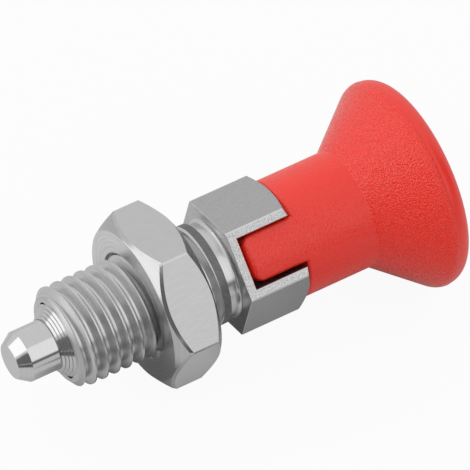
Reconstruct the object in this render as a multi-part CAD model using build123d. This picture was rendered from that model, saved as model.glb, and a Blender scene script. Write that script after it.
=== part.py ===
from build123d import *
import math
import os

# Lockable indexing plunger with a mushroom grip, for an M12 x 1.5 hole.
#
# The plunger lies along X: the index pin points to -X and the grip to +X, with +Z up.
# The origin is the centre of the hexagon's shoulder, the face that a panel bears on.
# Pulling the grip draws the pin into the sleeve against a spring. The two ends of the
# grip's cross-bar then leave the notch across the hexagon, and a quarter turn lays
# them on the hexagon's rear end, which holds the pin back.

# ---------------------------------------------------------------------------
# Driving dimensions, in millimetres and degrees
# ---------------------------------------------------------------------------

# Guide sleeve, in front of the shoulder
thread_diameter = 12.0        # outer diameter of the male thread
sleeve_reach = 20.4           # from the shoulder to the front end
lead_in_height = 1.0          # chamfer at the thread's start, across
lead_in_share = 0.65          # of the end wall, which the chamfer never passes
lead_in_length = 0.8          # the same chamfer, along
undercut_depth = 0.4          # turned groove between the thread and the shoulder
undercut_width = 1.45         # its width, with the flare
undercut_flare = 0.45         # cone between the groove and the shoulder, across and along

# Guide sleeve, hexagon and notch
hexagon_across_flats = 14.0
hexagon_length = 8.0
hexagon_corner_angle = 45.0   # one corner's place round the axis, from +Y towards +Z
hexagon_face_inset = 0.1      # the rear chamfer's circle lies this far inside the flats
chamfer_angle = 30.0          # of the hexagon's rear chamfer, from the end face
notch_width = 6.1
notch_front_wall = 1.1        # between the shoulder and the notch's floor
stem_wall = 2.6               # from the notch's floor forward to the spring chamber

# Guide bush
bush_wall = 1.32
bush_length = 4.0             # the length pressed into the sleeve
bush_ledge = 0.3              # step behind the bush that stops it
bush_nose_length = 1.15       # conical nose in front of the sleeve
bush_nose_land = 0.1          # flat ring at the nose's tip

# Index pin
pin_diameter = 6.0
pin_protrusion = 5.9          # how far the tip stands out of the sleeve
pin_tip_diameter = 4.26
pin_tip_length = 1.35         # length of the tip's cone
collar_length = 2.0
stem_diameter = 4.0
stem_bite = 12.5              # how far the stem reaches into the grip's neck and head
anchor_groove_depth = 0.4     # ring grooves near the stem's end that the grip keys into
anchor_groove_width = 1.2
anchor_groove_spacing = 3.0
anchor_groove_count = 2

# Spring
wire_diameter = 0.65
wire_sides = 8                # the wire's section, kept as an octagon so the coil stays light
spring_diameter = 6.4         # mean diameter of the coils
active_coils = 5
closed_coils = 1              # at each end, wound tight
opening_turns = 0.5           # over which the pitch opens from closed to active
closed_coil_gap = 0.03        # between the closed coils
ground_share = 0.35           # of the wire's diameter, ground off each end
steps_per_turn = 8            # points on the coil's centre line

# Mushroom grip
grip_neck_length = 8.8
grip_diameter = 24.9
flare_length = 7.35           # from the neck's end to the centre of the rim's rounding
flare_corner = 0.5            # fillet between the neck and the flare
rim_rounding = 1.95
crown_radius = 36.0           # of the domed end
tab_reach_gap = 0.4           # between the cross-bar's front and the notch's floor
tab_rounding = 0.45
neck_edge = 0.2               # chamfer of the neck's front edge
grip_turn = -1.3              # the grip's free play in the notch, as it stands

# Locknut
nut_across_flats = 18.7
nut_height = 6.0
nut_setback = 4.6             # from the shoulder to the nut's rear face
nut_corner_angle = 51.2       # one corner's place round the axis, from +Y towards +Z
nut_face_inset = 0.32         # each chamfer's circle lies this far inside the flats
nut_chamfer_angle = 38.0      # from the end face
nut_mouth = 0.5               # countersink at each end of the thread, across and along

# Clearances, on the radius or on one side
pin_clearance = 0.03
stem_clearance = 0.05
collar_clearance = 0.08
collar_stop_gap = 0.02
tab_clearance = 0.325         # each side of the cross-bar in the notch
grip_gap = 0.1                # between the neck's front face and the hexagon
thread_clearance = 0.05       # between the nut's bore and the thread's cylinder

# ---------------------------------------------------------------------------
# Places that follow from them
# ---------------------------------------------------------------------------

thread_radius = thread_diameter / 2
pin_radius = pin_diameter / 2
stem_radius = stem_diameter / 2
sleeve_front = -sleeve_reach
notch_angle = hexagon_corner_angle + 90     # the notch runs out through two flats

bush_bore = pin_radius + pin_clearance
bush_radius = bush_bore + bush_wall
bush_rear = sleeve_front + bush_length
chamber_radius = bush_radius - bush_ledge
chamber_rear = notch_front_wall - stem_wall

collar_radius = chamber_radius - collar_clearance
collar_front = bush_rear + collar_stop_gap
collar_rear = collar_front + collar_length

neck_radius = hexagon_across_flats / 2      # the neck is flush with the hexagon's flats
neck_front = hexagon_length + grip_gap
neck_rear = neck_front + grip_neck_length
tab_front = notch_front_wall + tab_reach_gap
tab_width = notch_width - 2 * tab_clearance
stem_end = neck_front + stem_bite

nut_rear = -nut_setback
nut_front = nut_rear - nut_height


def turned(outline):
    """Turn a closed outline of (x, radius) points about the plunger's axis."""
    return revolve(make_face(Polyline(*outline, close=True)), Axis.X)


def rod(front, rear, radius):
    """A plain round bar along the axis."""
    return turned([(front, 0), (front, radius), (rear, radius), (rear, 0)])


def hexagon_bar(front, length, across_flats, corner_angle):
    """A hexagonal bar along the axis."""
    corner_radius = across_flats / math.sqrt(3)
    section = RegularPolygon(corner_radius, 6, rotation=corner_angle)
    return extrude(Plane.YZ.offset(front) * section, length)


def chamfer_rise(across_flats, inset, angle):
    """How far along the axis a hexagon's chamfer runs at its corners, and their radius."""
    corner_radius = across_flats / math.sqrt(3)
    face_radius = across_flats / 2 - inset
    return (corner_radius - face_radius) * math.tan(math.radians(angle)), corner_radius


def make_guide_sleeve():
    """Threaded body, undercut, notched hexagon and the stepped bore through them."""
    end_wall = thread_radius - bush_radius
    lead_in = min(lead_in_height, end_wall * lead_in_share)
    groove_radius = thread_radius - undercut_depth
    threaded = turned([
        (sleeve_front, 0),
        (sleeve_front, thread_radius - lead_in),
        (sleeve_front + lead_in_length, thread_radius),
        (-undercut_width, thread_radius),
        (-undercut_width, groove_radius),
        (-undercut_flare, groove_radius),
        (0, groove_radius + undercut_flare),
        (0, 0),
    ])

    rise, corner_radius = chamfer_rise(
        hexagon_across_flats, hexagon_face_inset, chamfer_angle
    )
    face_radius = hexagon_across_flats / 2 - hexagon_face_inset
    envelope = turned([
        (0, 0),
        (0, corner_radius + rise),
        (hexagon_length - rise, corner_radius),
        (hexagon_length, face_radius),
        (hexagon_length, 0),
    ])
    hexagon = hexagon_bar(
        0, hexagon_length, hexagon_across_flats, hexagon_corner_angle
    ) & envelope
    notch = Rot(X=notch_angle) * Pos(X=notch_front_wall) * Box(
        hexagon_length,
        2 * hexagon_across_flats,
        notch_width,
        align=(Align.MIN, Align.CENTER, Align.CENTER),
    )
    sleeve = threaded + (hexagon - notch)
    sleeve -= rod(sleeve_front, bush_rear, bush_radius)
    sleeve -= rod(bush_rear, chamber_rear, chamber_radius)
    sleeve -= rod(chamber_rear, notch_front_wall, stem_radius + stem_clearance)
    return sleeve


def make_guide_bush():
    """Pressed bush with a conical nose that stands out of the sleeve."""
    nose_front = sleeve_front - bush_nose_length
    return turned([
        (bush_rear, bush_bore),
        (bush_rear, bush_radius),
        (sleeve_front, bush_radius),
        (nose_front, bush_bore + bush_nose_land),
        (nose_front, bush_bore),
    ])


def make_index_pin():
    """Pin, collar and stem, with ring grooves where the grip is moulded on."""
    tip = sleeve_front - pin_protrusion
    outline = [
        (tip, 0),
        (tip, pin_tip_diameter / 2),
        (tip + pin_tip_length, pin_radius),
        (collar_front, pin_radius),
        (collar_front, collar_radius),
        (collar_rear, collar_radius),
        (collar_rear, stem_radius),
    ]
    groove_radius = stem_radius - anchor_groove_depth
    for number in reversed(range(anchor_groove_count)):
        groove_rear = stem_end - anchor_groove_width - number * anchor_groove_spacing
        groove_front = groove_rear - anchor_groove_width
        outline += [
            (groove_front, stem_radius),
            (groove_front, groove_radius),
            (groove_rear, groove_radius),
            (groove_rear, stem_radius),
        ]
    outline += [(stem_end, stem_radius), (stem_end, 0)]
    return turned(outline)


def make_compression_spring():
    """Coil spring with closed and ground ends, as long as its seats stand apart."""
    turns = active_coils + 2 * closed_coils
    ground = ground_share * wire_diameter
    wound = chamber_rear - collar_rear - wire_diameter + 2 * ground
    closed_pitch = wire_diameter + closed_coil_gap
    closed_turns = 2 * closed_coils + opening_turns
    active_pitch = (wound - closed_turns * closed_pitch) / (turns - closed_turns)

    def pitch_at(turn):
        from_end = min(turn, turns - turn)
        opened = min(max((from_end - closed_coils) / opening_turns, 0), 1)
        return closed_pitch + opened * (active_pitch - closed_pitch)

    along = collar_rear + wire_diameter / 2 - ground
    points = []
    for step in range(turns * steps_per_turn + 1):
        turn = step / steps_per_turn
        angle = 2 * math.pi * turn
        across = spring_diameter / 2 * math.cos(angle)
        points.append((along, across, spring_diameter / 2 * math.sin(angle)))
        along += pitch_at(turn + 0.5 / steps_per_turn) / steps_per_turn
    path = Spline(*points)
    wire_section = RegularPolygon(wire_diameter / 2, wire_sides)
    section = Plane(origin=path @ 0, z_dir=path % 0) * wire_section
    coil = sweep(section, path=path, is_frenet=True)
    return coil & rod(collar_rear, chamber_rear, chamber_radius)


def make_mushroom_grip(index_pin):
    """Neck, flare, rounded rim and domed end, with the cross-bar, moulded on the stem."""
    rim_centre = Vector(neck_rear + flare_length, grip_diameter / 2 - rim_rounding)
    neck_end = Vector(neck_rear, neck_radius)
    to_rim = rim_centre - neck_end
    flare_angle = math.atan2(to_rim.Y, to_rim.X) + math.asin(rim_rounding / to_rim.length)
    flare_way = Vector(math.cos(flare_angle), math.sin(flare_angle))
    flare_out = Vector(-flare_way.Y, flare_way.X)
    flare_end = rim_centre + flare_out * rim_rounding

    dome_gap = crown_radius - rim_rounding
    dome_centre = Vector(rim_centre.X - math.sqrt(dome_gap**2 - rim_centre.Y**2), 0)
    rim_way = (rim_centre - dome_centre).normalized()
    dome_start = rim_centre + rim_way * rim_rounding
    crown = dome_centre + Vector(crown_radius, 0)
    rim_top = rim_centre + (flare_out + rim_way).normalized() * rim_rounding
    dome_half = (rim_way + Vector(1, 0)).normalized()
    dome_middle = dome_centre + dome_half * crown_radius

    corner_reach = flare_corner * math.tan(flare_angle / 2)
    corner_start = neck_end - Vector(corner_reach, 0)
    outline = [
        Line((neck_front, 0), (neck_front, neck_radius - neck_edge)),
        Line((neck_front, neck_radius - neck_edge), (neck_front + neck_edge, neck_radius)),
        Line((neck_front + neck_edge, neck_radius), corner_start),
        JernArc(corner_start, (1, 0), flare_corner, math.degrees(flare_angle)),
        Line(neck_end + flare_way * corner_reach, flare_end),
        ThreePointArc(flare_end, rim_top, dome_start),
        ThreePointArc(dome_start, dome_middle, crown),
        Line(crown, (neck_front, 0)),
    ]
    head = revolve(make_face(Wire(outline)), Axis.X)

    bar_length = neck_front + neck_edge - tab_front
    bar = Box(
        bar_length,
        2 * neck_radius,
        tab_width,
        align=(Align.MIN, Align.CENTER, Align.CENTER),
    )
    bar = Pos(X=tab_front) * bar & rod(tab_front, neck_front + neck_edge, neck_radius)
    bar_rear = tab_front + bar_length
    free_edges = bar.edges().filter_by(lambda edge: edge.center().X < bar_rear - neck_edge)
    bar = fillet(free_edges, tab_rounding)
    bar = Rot(X=notch_angle + grip_turn) * bar
    return head + bar - index_pin


def make_locknut():
    """Hexagon nut, chamfered and countersunk on both faces, its bore kept plain."""
    rise, corner_radius = chamfer_rise(nut_across_flats, nut_face_inset, nut_chamfer_angle)
    face_radius = nut_across_flats / 2 - nut_face_inset
    bore = thread_radius + thread_clearance
    turned_envelope = turned([
        (nut_front, bore + nut_mouth),
        (nut_front, face_radius),
        (nut_front + rise, corner_radius),
        (nut_rear - rise, corner_radius),
        (nut_rear, face_radius),
        (nut_rear, bore + nut_mouth),
        (nut_rear - nut_mouth, bore),
        (nut_front + nut_mouth, bore),
    ])
    bar = hexagon_bar(nut_front, nut_height, nut_across_flats, nut_corner_angle)
    return bar & turned_envelope


index_pin = make_index_pin()
pieces = {
    "guide_sleeve": make_guide_sleeve(),
    "guide_bush": make_guide_bush(),
    "index_pin": index_pin,
    "compression_spring": make_compression_spring(),
    "mushroom_grip": make_mushroom_grip(index_pin),
    "locknut": make_locknut(),
}

os.makedirs("parts", exist_ok=True)
for name, piece in pieces.items():
    export_step(piece, f"parts/{name}.step")
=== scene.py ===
# %% [markdown]
# # A lockable indexing plunger
#
# The part is a steel index pin in a threaded sleeve, pushed out by a spring and pulled
# back by a red mushroom grip. The engineering model fixes every size and every moving
# body. This lesson dresses it: each visible piece is rebuilt as a finer mesh in the same
# place, with the thread, the turning marks and the moulded grain that the plain solids
# leave out. Sizes are written in millimetres, and MM turns them into Blender's metres.

# %% Load the frame
import math

import bmesh
import bpy
from mathutils import Matrix, Vector


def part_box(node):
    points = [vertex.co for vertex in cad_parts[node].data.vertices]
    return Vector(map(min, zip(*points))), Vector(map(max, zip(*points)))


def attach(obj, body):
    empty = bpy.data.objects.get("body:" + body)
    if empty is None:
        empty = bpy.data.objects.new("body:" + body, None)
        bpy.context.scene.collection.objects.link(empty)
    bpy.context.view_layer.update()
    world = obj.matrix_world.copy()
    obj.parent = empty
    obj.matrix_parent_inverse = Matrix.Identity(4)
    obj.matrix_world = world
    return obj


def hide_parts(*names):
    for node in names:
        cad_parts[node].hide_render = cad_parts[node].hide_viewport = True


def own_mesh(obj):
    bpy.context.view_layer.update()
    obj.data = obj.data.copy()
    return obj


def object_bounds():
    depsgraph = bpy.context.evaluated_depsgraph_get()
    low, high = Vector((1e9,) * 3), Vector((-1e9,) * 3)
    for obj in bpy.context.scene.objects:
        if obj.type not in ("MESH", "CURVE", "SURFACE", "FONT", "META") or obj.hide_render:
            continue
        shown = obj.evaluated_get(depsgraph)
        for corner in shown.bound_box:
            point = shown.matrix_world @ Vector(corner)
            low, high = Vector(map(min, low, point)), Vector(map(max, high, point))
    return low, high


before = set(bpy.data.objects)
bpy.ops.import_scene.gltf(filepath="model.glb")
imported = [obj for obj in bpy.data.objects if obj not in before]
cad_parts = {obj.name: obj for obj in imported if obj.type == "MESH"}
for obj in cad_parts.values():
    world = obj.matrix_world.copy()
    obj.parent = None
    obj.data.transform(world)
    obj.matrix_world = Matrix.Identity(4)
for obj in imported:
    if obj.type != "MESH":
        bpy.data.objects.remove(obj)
cad_box = [list(corner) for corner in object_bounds()]
MM = 0.001

# %% [markdown]
# The camera comes first, because it decides how large every detail will be seen. A long
# lens far away keeps the plunger's two ends nearly the same scale, as a catalogue picture
# does. It looks down steeply, from the pin's side.

# %% Camera
camera_azimuth = math.radians(-30.93)
camera_elevation = math.radians(49.16)
camera_distance = 957.3 * MM
camera_aside = 2.146 * MM        # from the frame's origin, to the picture's right
camera_above = 3.684 * MM        # and up in the picture
sensor_width = 36.0
lens_length = 661.34

back = Vector((
    math.sin(camera_azimuth) * math.cos(camera_elevation),
    -math.cos(camera_azimuth) * math.cos(camera_elevation),
    math.sin(camera_elevation),
))
rightward = Vector((math.cos(camera_azimuth), math.sin(camera_azimuth), 0.0))
upward = back.cross(rightward)

camera_data = bpy.data.cameras.new("camera")
camera_data.sensor_width = sensor_width
camera_data.lens = lens_length
camera_data.clip_start = 10 * MM
camera = bpy.data.objects.new("camera", camera_data)
camera.matrix_world = Matrix.Translation(
    back * camera_distance + rightward * camera_aside + upward * camera_above
) @ Matrix((rightward, upward, back)).transposed().to_4x4()
bpy.context.scene.collection.objects.link(camera)
bpy.context.scene.camera = camera
bpy.context.scene.view_settings.view_transform = "Standard"
print("camera at", [round(value, 4) for value in camera.matrix_world.translation])

# %% [markdown]
# The studio is an even white surround, a little brighter where two softboxes hang. It is
# dark in three places: an opening low beside the camera, a gap under the front softbox
# and a gap beside it. Polished steel is mostly a picture of its surroundings, so these
# few shapes make its bright facets and its dark lines. They could be panels that stand
# round the plunger, but panels cast shadows and get in the way of other views. So the
# world carries the even light and the dark places, and two area lamps that the camera
# doesn't see are the softboxes. Everything is drawn with nodes, so a few helpers that add
# and join nodes come first.

# %% Node helpers
def feed(tree, node, inputs):
    """Link a socket to each input that is given one, and set the others' values."""
    for key, value in inputs.items():
        if isinstance(value, bpy.types.NodeSocket):
            tree.links.new(value, node.inputs[key])
        else:
            node.inputs[key].default_value = value


def add(tree, kind, inputs=None, **settings):
    """Add a node, set its properties, and feed its inputs."""
    node = tree.nodes.new(kind)
    for name, value in settings.items():
        setattr(node, name, value)
    feed(tree, node, inputs or {})
    return node


def math_node(tree, operation, *values):
    """Add a Math node and return its result."""
    inputs = dict(enumerate(values))
    return add(tree, "ShaderNodeMath", inputs, operation=operation).outputs[0]


def between(tree, share, low, high):
    """A value that goes from low to high as the share goes from 0 to 1.

    A Mix node's sockets 2 and 3 take its two values, and 6 and 7 its two colours.
    """
    return add(tree, "ShaderNodeMix", {0: share, 2: low, 3: high}).outputs[0]


def soft_inside(tree, offset, half, softness):
    """A mask: 1 where the offset is within half, and 0 outside, with a soft edge."""
    inside = math_node(tree, "SUBTRACT", half, math_node(tree, "ABSOLUTE", offset))
    share = math_node(tree, "DIVIDE", inside, softness)
    return add(tree, "ShaderNodeClamp", {0: math_node(tree, "ADD", share, 0.5)}).outputs[0]


def new_group(name, kind, inputs, outputs):
    """Start a node group with named sockets, and return it with its inner ends."""
    group = bpy.data.node_groups.new(name, kind)
    for label, socket, value in inputs:
        made = group.interface.new_socket(label, in_out="INPUT", socket_type=socket)
        if value is not None:
            made.default_value = value
    for label, socket in outputs:
        group.interface.new_socket(label, in_out="OUTPUT", socket_type=socket)
    entry = group.nodes.new("NodeGroupInput").outputs
    leave = group.nodes.new("NodeGroupOutput").inputs
    print(f"{name}: a group with {len(inputs)} inputs")
    return group, entry, leave


# %% A soft-edged patch of the surround
def sky_patch_group():
    """Mask the directions within a half width and a half height of one direction."""
    group, entry, leave = new_group(
        "sky_patch", "ShaderNodeTree",
        [("Direction", "NodeSocketVector", None), ("Azimuth", "NodeSocketFloat", 0.0),
         ("Elevation", "NodeSocketFloat", 0.0), ("Half Width", "NodeSocketFloat", 0.3),
         ("Half Height", "NodeSocketFloat", 0.3), ("Softness", "NodeSocketFloat", 0.05)],
        [("Mask", "NodeSocketFloat")],
    )
    parts = add(group, "ShaderNodeSeparateXYZ", {0: entry["Direction"]}).outputs
    turn = math_node(group, "ARCTAN2", parts["X"], parts["Y"])
    turn = math_node(group, "SUBTRACT", turn, entry["Azimuth"])
    turn = math_node(group, "WRAP", turn, math.pi, -math.pi)
    rise = math_node(group, "ARCSINE", parts["Z"])
    rise = math_node(group, "SUBTRACT", rise, entry["Elevation"])
    masks = [soft_inside(group, offset, entry[half], entry["Softness"])
             for offset, half in ((turn, "Half Width"), (rise, "Half Height"))]
    group.links.new(math_node(group, "MULTIPLY", *masks), leave["Mask"])
    return group


sky_patch = sky_patch_group()

# %% The world: even white, with three dark places
WHITE = (1, 1, 1, 1)
surround_in_steel = 0.78         # the white surround as polished steel shows it
surround_on_matt = 1.0           # and as it lights matt surfaces
surround_seen = 1.0              # and as the camera sees it
opening_strength = 0.16
opening_softness = math.radians(3)
# name, azimuth from +Y towards +X, elevation, half width, half height, in degrees
openings = [
    ("opening beside the camera", -126, 14, 15, 19),
    ("gap under the front softbox", 180, 6, 56, 6.5),
    ("gap beside the front softbox", 119, 22, 21, 28),
]

world = bpy.data.worlds.new("studio")
bpy.context.scene.world = world
world.use_nodes = True
sky = world.node_tree
sky.nodes.clear()
direction = add(sky, "ShaderNodeTexCoord").outputs["Generated"]
ray = add(sky, "ShaderNodeLightPath").outputs
dark = 0.0
for label, azimuth, elevation, half_width, half_height in openings:
    patch = add(sky, "ShaderNodeGroup", {
        "Direction": direction, "Azimuth": math.radians(azimuth),
        "Elevation": math.radians(elevation), "Half Width": math.radians(half_width),
        "Half Height": math.radians(half_height), "Softness": opening_softness,
    }, node_tree=sky_patch, label=label)
    dark = math_node(sky, "MAXIMUM", dark, patch.outputs["Mask"])
mirrored = math_node(sky, "MAXIMUM", ray["Is Glossy Ray"], ray["Is Transmission Ray"])
even = between(sky, mirrored, surround_on_matt, surround_in_steel)
studio = between(sky, dark, even, opening_strength)
strength = between(sky, ray["Is Camera Ray"], studio, surround_seen)
surround = add(sky, "ShaderNodeBackground", {"Color": WHITE, "Strength": strength})
add(sky, "ShaderNodeOutputWorld", {"Surface": surround.outputs[0]})
print("world: surround", surround_in_steel, "dark places:", [row[0] for row in openings])


# %% The two softboxes
def softbox(name, azimuth, elevation, distance, width, height, radiance):
    """A rectangular lamp that faces the plunger and adds its radiance to the surround."""
    turn, rise = math.radians(azimuth), math.radians(elevation)
    outward = Vector((
        math.sin(turn) * math.cos(rise), math.cos(turn) * math.cos(rise), math.sin(rise)
    ))
    data = bpy.data.lights.new(name, "AREA")
    data.shape = "RECTANGLE"
    data.size, data.size_y = width, height
    data.energy = radiance * math.pi * width * height
    lamp = bpy.data.objects.new(name, data)
    across = Vector((0, 0, 1)).cross(outward).normalized()
    lamp.matrix_world = Matrix.Translation(outward * distance) @ Matrix(
        (across, outward.cross(across), outward)
    ).transposed().to_4x4()
    lamp.visible_camera = False
    bpy.context.scene.collection.objects.link(lamp)
    print(f"{name}: {width:.2f} x {height:.2f} m, {data.energy:.3f} W")


softbox("left softbox", azimuth=-69, elevation=24, distance=0.5,
        width=0.55, height=0.46, radiance=0.66)
softbox("front softbox", azimuth=155, elevation=40, distance=0.6,
        width=0.32, height=0.66, radiance=0.27)

# %% [markdown]
# The plunger stands over a plain white floor that touches the grip's rim. The camera sees
# it almost as white as the backdrop, and it still takes a soft shadow. Seen from below it
# is clear, so that it hides nothing. What polished metal reflects of the floor is painted:
# an even glow with a painted shadow under the part, soft patches of painted shade that
# give the metal dark edges as black cards would, and one of painted light that fills a
# facet. Only reflections see them.

# %% Floor: the sheet
floor_reach = 3.0
floor_height = cad_box[0][2]


def link_object(name, mesh):
    """Put a mesh in the scene as an object at the origin."""
    piece = bpy.data.objects.new(name, mesh)
    bpy.context.scene.collection.objects.link(piece)
    return piece


sheet = bpy.data.meshes.new("floor")
sheet.from_pydata(
    [(x * floor_reach, y * floor_reach, floor_height)
     for x, y in ((-1, -1), (1, -1), (1, 1), (-1, 1))],
    [], [(0, 1, 2, 3)],
)
floor = link_object("floor", sheet)
print("floor at", round(floor_height / MM, 2), "mm")

# %% Floor: what each kind of ray finds there
floor_colour = 0.72
seen_white = 0.93                # how much of what the camera sees is plain white
floor_in_steel = 0.66            # the floor as polished steel shows it
painted_shadow_reach = 14.0             # how far the painted shadow under the part spreads, millimetres
painted_shadow_samples = 8
painted_patch_softness = 5.0              # millimetres, at a painted patch's edges
# name, brightness in reflections, then middle and half length along X and along Y
# each row paints shade, or light for the one under the nut, onto the floor as only reflections
# see it
painted_reflection_patches = [
    ("card under the thread", 0.24, (-9.5, 9.0), (1.2, 13.2)),
    ("card before the grip", 0.35, (17.0, 9.0), (-25.0, 12.0)),
    ("card in front of the thread", 0.12, (-4.5, 7.5), (-27.5, 12.5)),
    ("card to the right", 0.12, (70.0, 35.0), (-105.0, 30.0)),
    ("white card under the nut", 0.85, (-5.5, 5.5), (-9.5, 5.0)),
    ("table's end", 0.12, (-165.0, 145.0), (-170.0, 130.0)),
]

floor_finish = bpy.data.materials.new("floor_white")
floor_finish.use_nodes = True
tree = floor_finish.node_tree
tree.nodes.clear()
ray = add(tree, "ShaderNodeLightPath").outputs
place = add(tree, "ShaderNodeSeparateXYZ", {
    0: add(tree, "ShaderNodeTexCoord").outputs["Object"]}).outputs
# the floor's brightness in reflections, with the patches of painted shade and light
painted_floor_strength = floor_in_steel
for _, brightness, *spans in painted_reflection_patches:
    sides = []
    for axis, (middle, half) in zip("XY", spans):
        offset = math_node(tree, "SUBTRACT", place[axis], middle * MM)
        sides.append(soft_inside(tree, offset, half * MM, painted_patch_softness * MM))
    painted_floor_strength = between(tree, math_node(tree, "MULTIPLY", *sides), painted_floor_strength, brightness)
# Ambient occlusion paints a shadow under the part into the glow that reflections see of the
# floor.
painted_shadow_ao = add(tree, "ShaderNodeAmbientOcclusion", {
    "Distance": painted_shadow_reach * MM}, samples=painted_shadow_samples).outputs["AO"]
painted_reflection = add(tree, "ShaderNodeEmission", {
    "Color": WHITE, "Strength": math_node(tree, "MULTIPLY", painted_floor_strength, painted_shadow_ao)})
plain_white = add(tree, "ShaderNodeEmission", {"Color": WHITE, "Strength": 1.0})
clear = add(tree, "ShaderNodeBsdfTransparent")
whiteness = math_node(tree, "MULTIPLY", ray["Is Camera Ray"], seen_white)
from_below = add(tree, "ShaderNodeNewGeometry").outputs["Backfacing"]
shown = add(tree, "ShaderNodeBsdfDiffuse", {"Color": (floor_colour,) * 3 + (1,)})
for share, other in (
    (whiteness, plain_white), (ray["Is Glossy Ray"], painted_reflection), (from_below, clear),
):
    shown = add(tree, "ShaderNodeMixShader", {
        0: share, 1: shown.outputs[0], 2: other.outputs[0]})
add(tree, "ShaderNodeOutputMaterial", {"Surface": shown.outputs[0]})
sheet.materials.append(floor_finish)
print("cards:", ", ".join(row[0] for row in painted_reflection_patches))

# %% [markdown]
# Every steel piece here was turned on a lathe or milled from a hexagonal bar, so one
# helper makes them all. It takes a closed outline of (x, radius) points and skins it
# round the X axis. Blender's Screw modifier does that too, but with one outline all the
# way round. Here the outline may change with the angle, and that is how a hexagon gets
# its six flats and the curved edges where its turned chamfer meets them.

# %% Outline helpers
turning_steps = 180              # columns round the axis
corner_softness = 0.7            # degrees that a hexagon's worn corner takes, each side


def on_circle(centre, radius, degrees):
    """The point (x, r) at an angle from +X towards a larger radius."""
    angle = math.radians(degrees)
    return (centre[0] + radius * math.cos(angle), centre[1] + radius * math.sin(angle))


def arc(centre, radius, start, end, steps):
    """Points on an arc from one angle to another."""
    return [on_circle(centre, radius, start + (end - start) * step / steps)
            for step in range(steps + 1)]


def columns(corner_angle=None):
    """Angles round the axis, with one more on each side of every hexagon corner."""
    angles = {round(360 * step / turning_steps, 4) for step in range(turning_steps)}
    if corner_angle is not None:
        for corner in range(6):
            for side in (-corner_softness, corner_softness):
                angles.add(round((corner_angle + 60 * corner + side) % 360, 4))
    return [math.radians(angle) for angle in sorted(angles)]


def hexagon_reach(angle, across_flats, corner_angle):
    """How far a hexagonal bar reaches at this angle, with its corners a little worn."""
    off_flat = (math.degrees(angle) - corner_angle) % 60 - 30
    off_flat = max(-30 + corner_softness, min(30 - corner_softness, off_flat))
    return across_flats / 2 / math.cos(math.radians(off_flat))


print("columns round a plain piece:", len(columns()), "and a hexagon:", len(columns(0)))

# %% Mesh helpers
weld_distance = MM / 10000
shallow_degrees = 12             # edges that turn less than this are shaded smooth


def skin(name, rings, capped):
    """A closed mesh through rings of points, with capped ends or back to the first ring."""
    work = bmesh.new()
    rings = [[work.verts.new(point) for point in ring] for ring in rings]
    for ring, following in zip(rings, rings[1:] if capped else rings[1:] + rings[:1]):
        for here, ahead in zip(range(len(ring)), list(range(1, len(ring))) + [0]):
            work.faces.new((ring[here], ring[ahead], following[ahead], following[here]))
    if capped:
        work.faces.new(rings[0])
        work.faces.new(rings[-1])
    bmesh.ops.remove_doubles(work, verts=work.verts, dist=weld_distance)
    loose = [edge for edge in work.edges if not edge.link_faces]
    bmesh.ops.delete(work, geom=loose, context="EDGES")
    bmesh.ops.recalc_face_normals(work, faces=work.faces)
    mesh = bpy.data.meshes.new(name)
    work.to_mesh(mesh)
    work.free()
    return link_object(name, mesh)


def turned(name, outline_at, angles):
    """Turn the closed outline, in millimetres, that outline_at gives at each angle."""
    return skin(name, [
        [(x * MM, r * MM * math.cos(angle), r * MM * math.sin(angle))
         for x, r in outline_at(angle)] for angle in angles
    ], capped=False)


def keep_result(piece):
    """Keep what a piece's modifier makes of it as its plain mesh."""
    depsgraph = bpy.context.evaluated_depsgraph_get()
    result = bpy.data.meshes.new_from_object(piece.evaluated_get(depsgraph))
    piece.modifiers.clear()
    piece.data = result
    result.name = piece.name


def carve(piece, tool, operation="DIFFERENCE"):
    """Cut a tool's shape from a piece, or join it on, and remove the tool."""
    modifier = piece.modifiers.new("carve", "BOOLEAN")
    modifier.operation = operation
    modifier.solver = "EXACT"
    modifier.object = tool
    keep_result(piece)
    bpy.data.objects.remove(tool)


def tidy(piece):
    """Smooth the shading across shallow edges only, and say how large the mesh is."""
    mesh = piece.data
    mesh.shade_smooth()
    mesh.set_sharp_from_angle(angle=math.radians(shallow_degrees))
    work = bmesh.new()
    work.from_mesh(mesh)
    open_edges = sum(not edge.is_manifold for edge in work.edges)
    triangles = sum(len(face.verts) - 2 for face in work.faces)
    print(f"{piece.name}: {triangles} triangles, {open_edges} open edges, "
          f"volume {work.calc_volume() / MM**3:.0f} mm3")
    work.free()


# %% [markdown]
# Machined steel is never one flat grey. A lathe leaves fine rings, and a belt leaves
# straight scratches. Both are the same effect seen from two sides: a noise that is
# stretched along the tool's path. So there are two small shader groups, one that follows
# rings round the axis and one that follows straight lines, and every finish places one of
# them with its own scale. With one scale both ways, the straight marks become the even
# grain of a tumbled or moulded face.

# %% Shader groups for machining marks
PER_MM = 1 / MM


def turning_marks_group():
    """Noise in rings round the X axis. Each ring wanders a little as it goes round."""
    group, entry, leave = new_group(
        "turning_marks", "ShaderNodeTree",
        [("Position", "NodeSocketVector", None), ("Rings", "NodeSocketFloat", 6 * PER_MM),
         ("Wander", "NodeSocketFloat", 0.3 * PER_MM)],
        [("Marks", "NodeSocketFloat")],
    )
    place = add(group, "ShaderNodeSeparateXYZ", {0: entry["Position"]}).outputs
    flat = add(group, "ShaderNodeCombineXYZ", {"Y": place["Y"], "Z": place["Z"]}).outputs[0]
    radius = add(group, "ShaderNodeVectorMath", {0: flat}, operation="LENGTH").outputs["Value"]
    ringed = add(group, "ShaderNodeCombineXYZ", {
        "X": math_node(group, "MULTIPLY", place["X"], entry["Rings"]),
        "Y": math_node(group, "MULTIPLY", radius, entry["Rings"]),
        "Z": math_node(group, "MULTIPLY", place["Y"], entry["Wander"]),
    }).outputs[0]
    noise = add(group, "ShaderNodeTexNoise", {
        "Vector": ringed, "W": math_node(group, "MULTIPLY", place["Z"], entry["Wander"]),
        "Scale": 1.0, "Detail": 2.0,
    }, noise_dimensions="4D")
    group.links.new(noise.outputs[0], leave["Marks"])
    return group


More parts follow.
